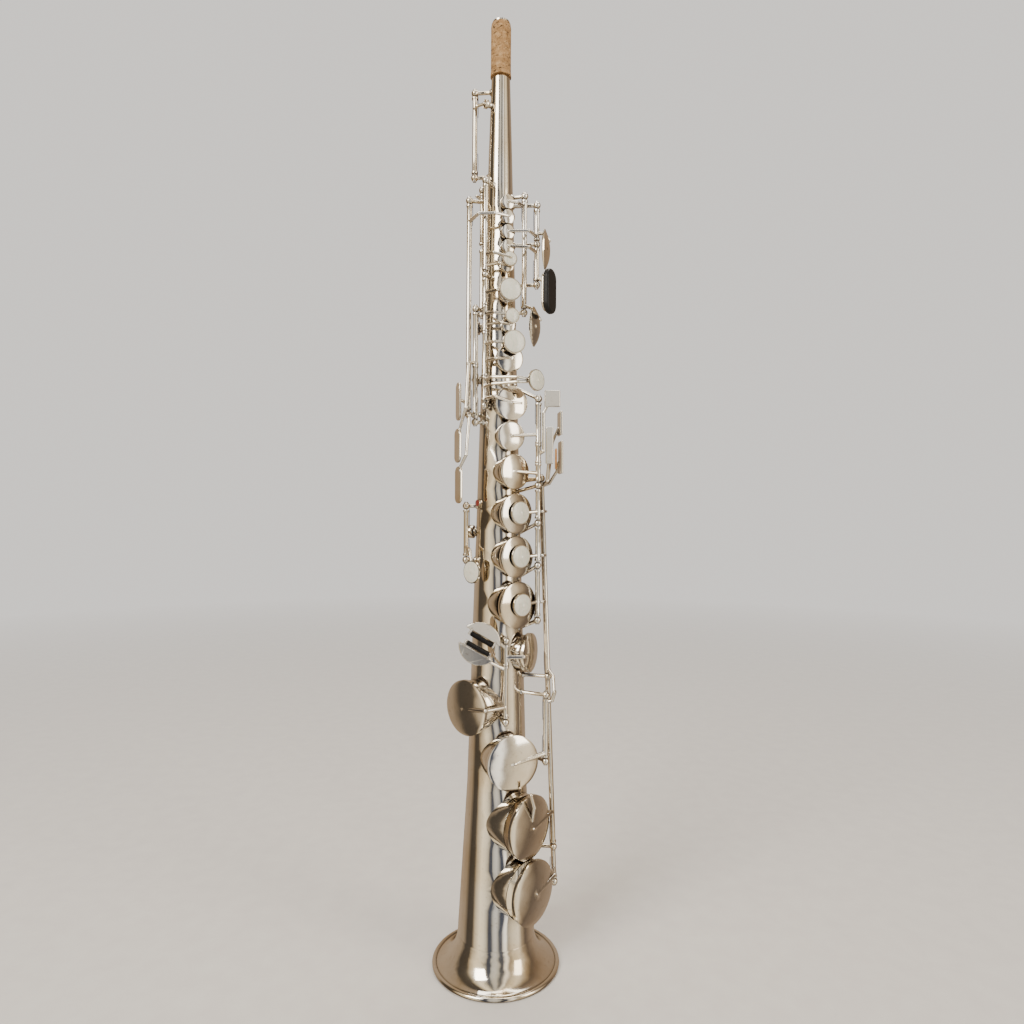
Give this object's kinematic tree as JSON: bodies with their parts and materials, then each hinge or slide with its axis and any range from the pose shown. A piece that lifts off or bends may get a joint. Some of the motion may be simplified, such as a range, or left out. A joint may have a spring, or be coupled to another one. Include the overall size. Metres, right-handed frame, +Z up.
{
  "type": "soprano saxophone",
  "caption": "Straight soprano saxophone: conical silver tube with a flared bell, corked neck, and pivoting keys with domed pad cups, pearl touches and rollers.",
  "frame": {"origin": "centre of the bell rim, on the plane that the rim stands on", "axes": "+Z up the bore towards the mouthpiece cork; -Y is the front, where the main row of keys faces; +X is the side of the left little-finger table"},
  "size_m": [0.088, 0.088, 0.652],
  "materials": {
    "silver": "polished silver plate, lightly toned",
    "rod_steel": "polished steel",
    "pearl": "polished mother-of-pearl",
    "pad_leather": "thin matt kid leather",
    "cork": "sanded natural cork",
    "black_rubber": "smooth black rubber",
    "black_roller": "polished black"
  },
  "bodies": {
    "root": {"main_tube": "silver", "bell_flare": "silver", "bell_rim": "silver", "neck_cork": "cork", "tone_hole_chimneys": "silver", "bell_chimneys": "silver", "octave_pips": "silver", "ball_posts": "silver", "hinge_rods": "rod_steel", "strap_ring": "silver", "thumb_hook": "silver", "thumb_rest": "silver"},
    "palm_f": {"palm_f_key": "silver"},
    "palm_eb": {"palm_eb_key": "silver"},
    "palm_d": {"palm_d_key": "silver", "palm_d_riser": "black_rubber"},
    "side_e": {"side_e_key": "silver"},
    "side_c": {"side_c_key": "silver"},
    "side_bb": {"side_bb_key": "silver"},
    "front_f": {"front_f_key": "silver", "front_f_pearl": "pearl"},
    "b": {"b_key": "silver", "b_pearl": "pearl"},
    "bis": {"bis_key": "silver", "bis_pearl": "pearl"},
    "a": {"a_key": "silver", "a_pearl": "pearl"},
    "g": {"g_key": "silver", "g_pearl": "pearl"},
    "gsharp": {"gsharp_key": "silver"},
    "gsharp_lever": {"gsharp_lever_key": "silver"},
    "fsharp": {"fsharp_key": "silver", "fsharp_pad": "pad_leather"},
    "f": {"f_key": "silver", "f_pearl": "pearl", "f_pad": "pad_leather"},
    "e": {"e_key": "silver", "e_pearl": "pearl", "e_pad": "pad_leather"},
    "d": {"d_key": "silver", "d_pearl": "pearl", "d_pad": "pad_leather"},
    "alt_fsharp": {"alt_fsharp_key": "silver", "alt_fsharp_pearl": "pearl"},
    "upper_octave": {"upper_octave_key": "silver"},
    "lower_octave": {"lower_octave_key": "silver"},
    "octave_lever": {"octave_lever_key": "silver"},
    "low_eb": {"low_eb_key": "silver", "low_eb_pad": "pad_leather"},
    "low_c": {"low_c_key": "silver", "low_c_pad": "pad_leather"},
    "low_csharp": {"low_csharp_key": "silver", "low_csharp_pad": "pad_leather"},
    "csharp_lever": {"csharp_lever_key": "silver"},
    "low_b": {"low_b_key": "silver", "low_b_pad": "pad_leather"},
    "low_bb": {"low_bb_key": "silver", "low_bb_pad": "pad_leather"},
    "low_eb_roller": {"low_eb_roller": "black_roller"},
    "low_c_roller": {"low_c_roller": "black_roller"}
  },
  "joints": [
    {"name": "palm_f_hinge", "type": "hinge", "parent": "root", "child": "palm_f", "pos_m": [0.017, -0.006, 0.489], "axis": [0, 0, 1], "range_deg": [0, 9], "stiffness_Nm_per_rad": 0.03, "springref_deg": -20.05},
    {"name": "palm_eb_hinge", "type": "hinge", "parent": "root", "child": "palm_eb", "pos_m": [0.0256, -0.003, 0.5104], "axis": [0, 0, 1], "range_deg": [0, 8], "stiffness_Nm_per_rad": 0.03, "springref_deg": -20.05},
    {"name": "palm_d_hinge", "type": "hinge", "parent": "root", "child": "palm_d", "pos_m": [0.0256, -0.003, 0.483], "axis": [0, 0, 1], "range_deg": [0, 8], "stiffness_Nm_per_rad": 0.03, "springref_deg": -20.05},
    {"name": "side_e_hinge", "type": "hinge", "parent": "root", "child": "side_e", "pos_m": [-0.021, -0.005, 0.4525], "axis": [0, 0, -1], "range_deg": [0, 6], "stiffness_Nm_per_rad": 0.03, "springref_deg": -20.05},
    {"name": "side_c_hinge", "type": "hinge", "parent": "root", "child": "side_c", "pos_m": [-0.016, -0.011, 0.4296], "axis": [0, 0, 1], "range_deg": [0, 5], "stiffness_Nm_per_rad": 0.03, "springref_deg": -20.05},
    {"name": "side_bb_hinge", "type": "hinge", "parent": "root", "child": "side_bb", "pos_m": [-0.016, -0.011, 0.3937], "axis": [0, 0, 1], "range_deg": [0, 5], "stiffness_Nm_per_rad": 0.03, "springref_deg": -20.05},
    {"name": "front_f_hinge", "type": "hinge", "parent": "root", "child": "front_f", "pos_m": [-0.0095, -0.014, 0.50435], "axis": [0, 0, 1], "range_deg": [0, 6], "stiffness_Nm_per_rad": 0.03, "springref_deg": -20.05},
    {"name": "b_hinge", "type": "hinge", "parent": "root", "child": "b", "pos_m": [-0.0095, -0.014, 0.4608], "axis": [0, 0, 1], "range_deg": [0, 7], "stiffness_Nm_per_rad": 0.03, "springref_deg": -20.05},
    {"name": "bis_hinge", "type": "hinge", "parent": "root", "child": "bis", "pos_m": [-0.0095, -0.014, 0.4427], "axis": [0, 0, 1], "range_deg": [0, 6], "stiffness_Nm_per_rad": 0.03, "springref_deg": -20.05},
    {"name": "a_hinge", "type": "hinge", "parent": "root", "child": "a", "pos_m": [-0.0095, -0.014, 0.4188], "axis": [0, 0, 1], "range_deg": [0, 7], "stiffness_Nm_per_rad": 0.03, "springref_deg": -20.05},
    {"name": "g_hinge", "type": "hinge", "parent": "root", "child": "g", "pos_m": [-0.0095, -0.014, 0.3954], "axis": [0, 0, 1], "range_deg": [0, 6.5], "stiffness_Nm_per_rad": 0.03, "springref_deg": -20.05},
    {"name": "gsharp_hinge", "type": "hinge", "parent": "root", "child": "gsharp", "pos_m": [0.027, -0.014, 0.3719], "axis": [0, 0, 1], "range_deg": [0, 8], "stiffness_Nm_per_rad": 0.03, "springref_deg": -20.05},
    {"name": "gsharp_lever_hinge", "type": "hinge", "parent": "root", "child": "gsharp_lever", "pos_m": [0.027, -0.014, 0.3515], "axis": [0, 0, 1], "range_deg": [0, 8], "stiffness_Nm_per_rad": 0.03, "springref_deg": -20.05},
    {"name": "fsharp_hinge", "type": "hinge", "parent": "root", "child": "fsharp", "pos_m": [0.027, -0.014, 0.3389], "axis": [0, 0, -1], "range_deg": [0, 8], "stiffness_Nm_per_rad": 0.03, "springref_deg": -20.05},
    {"name": "f_hinge", "type": "hinge", "parent": "root", "child": "f", "pos_m": [0.027, -0.014, 0.31735], "axis": [0, 0, -1], "range_deg": [0, 8], "stiffness_Nm_per_rad": 0.03, "springref_deg": -20.05},
    {"name": "e_hinge", "type": "hinge", "parent": "root", "child": "e", "pos_m": [0.027, -0.014, 0.29035], "axis": [0, 0, -1], "range_deg": [0, 8], "stiffness_Nm_per_rad": 0.03, "springref_deg": -20.05},
    {"name": "d_hinge", "type": "hinge", "parent": "root", "child": "d", "pos_m": [0.027, -0.014, 0.25755], "axis": [0, 0, -1], "range_deg": [0, 8.5], "stiffness_Nm_per_rad": 0.03, "springref_deg": -20.05},
    {"name": "alt_fsharp_hinge", "type": "hinge", "parent": "root", "child": "alt_fsharp", "pos_m": [-0.022, -0.006, 0.2975], "axis": [0, 0, 1], "range_deg": [0, 7], "stiffness_Nm_per_rad": 0.03, "springref_deg": -20.05},
    {"name": "upper_octave_hinge", "type": "hinge", "parent": "root", "child": "upper_octave", "pos_m": [-0.018, 0.002, 0.5746], "axis": [0, 0, -1], "range_deg": [0, 6], "stiffness_Nm_per_rad": 0.03, "springref_deg": -20.05},
    {"name": "lower_octave_hinge", "type": "hinge", "parent": "root", "child": "lower_octave", "pos_m": [-0.013, 0.0145, 0.4775], "axis": [0, 0, 1], "range_deg": [0, 7], "stiffness_Nm_per_rad": 0.03, "springref_deg": -20.05},
    {"name": "octave_lever_hinge", "type": "hinge", "parent": "root", "child": "octave_lever", "pos_m": [-0.013, 0.0145, 0.5211], "axis": [0, 0, -1], "range_deg": [0, 6], "stiffness_Nm_per_rad": 0.03, "springref_deg": -20.05},
    {"name": "low_eb_hinge", "type": "hinge", "parent": "root", "child": "low_eb", "pos_m": [0.006, -0.0245, 0.21715], "axis": [0, 0, -1], "range_deg": [0, 6], "stiffness_Nm_per_rad": 0.06, "springref_deg": -20.05},
    {"name": "low_c_hinge", "type": "hinge", "parent": "root", "child": "low_c", "pos_m": [0.006, -0.0245, 0.1929], "axis": [0, 0, -1], "range_deg": [0, 7], "stiffness_Nm_per_rad": 0.06, "springref_deg": -20.05},
    {"name": "low_csharp_hinge", "type": "hinge", "parent": "root", "child": "low_csharp", "pos_m": [0.033, -0.016, 0.16675], "axis": [0, 0, 1], "range_deg": [0, 6], "stiffness_Nm_per_rad": 0.06, "springref_deg": -20.05},
    {"name": "csharp_lever_hinge", "type": "hinge", "parent": "root", "child": "csharp_lever", "pos_m": [0.03211, -0.009, 0.2675], "axis": [-0.0386, 0, 0.9993], "range_deg": [0, 6], "stiffness_Nm_per_rad": 0.03, "springref_deg": -20.05},
    {"name": "low_b_hinge", "type": "hinge", "parent": "root", "child": "low_b", "pos_m": [0.03439, -0.004, 0.2082], "axis": [0.0386, 0, -0.9993], "range_deg": [0, 6.5], "stiffness_Nm_per_rad": 0.06, "springref_deg": -20.05},
    {"name": "low_bb_hinge", "type": "hinge", "parent": "root", "child": "low_bb", "pos_m": [0.03491, 0.001, 0.19495], "axis": [0.0386, 0, -0.9993], "range_deg": [0, 6.5], "stiffness_Nm_per_rad": 0.06, "springref_deg": -20.05},
    {"name": "low_eb_roller_spin", "type": "hinge", "parent": "low_eb", "child": "low_eb_roller", "pos_m": [-0.0099, -0.0304, 0.22877], "axis": [0.866, 0, -0.5], "continuous": true},
    {"name": "low_c_roller_spin", "type": "hinge", "parent": "low_c", "child": "low_c_roller", "pos_m": [-0.01224, -0.03268, 0.22323], "axis": [0.8596, 0.1055, -0.5], "continuous": true}
  ],
  "couplings": [
    {"joint": "fsharp_hinge", "follows": "f_hinge", "ratio": 1},
    {"joint": "gsharp_hinge", "follows": "gsharp_lever_hinge", "ratio": 1},
    {"joint": "low_csharp_hinge", "follows": "csharp_lever_hinge", "ratio": 1},
    {"joint": "upper_octave_hinge", "follows": "octave_lever_hinge", "ratio": 1}
  ]
}
